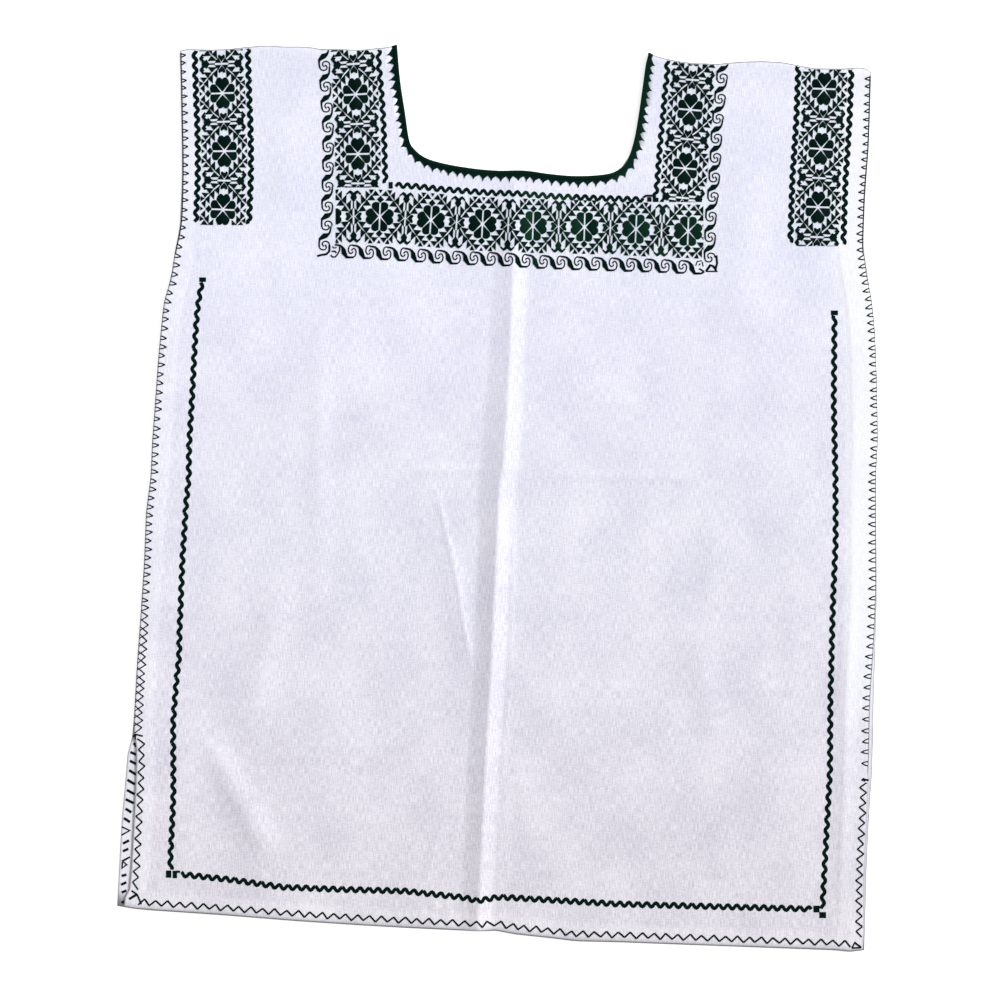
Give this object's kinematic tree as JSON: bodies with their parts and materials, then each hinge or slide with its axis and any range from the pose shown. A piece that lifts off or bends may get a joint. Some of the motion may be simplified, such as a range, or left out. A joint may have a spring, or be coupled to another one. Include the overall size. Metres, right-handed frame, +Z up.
{
  "type": "embroidered top",
  "caption": "Sleeveless white cotton top laid flat, square scooped neck, dark green stitched bands at yoke and armholes, side vents and a zigzag stitched hem.",
  "frame": {"origin": "middle of the laid garment's bounding box, on the surface it rests on", "axes": "+Y from the hem towards the neck, +Z up out of the front, +X to the right as it is seen from above with the neck at the top"},
  "size_m": [0.6132, 0.7306, 0.0055],
  "materials": {
    "white_cotton": "plain weave, matt",
    "green_thread": "dark green stitching thread, slight sheen"
  },
  "bodies": {
    "root": {"body": "white_cotton", "neck_edging": "green_thread"}
  },
  "joints": []
}
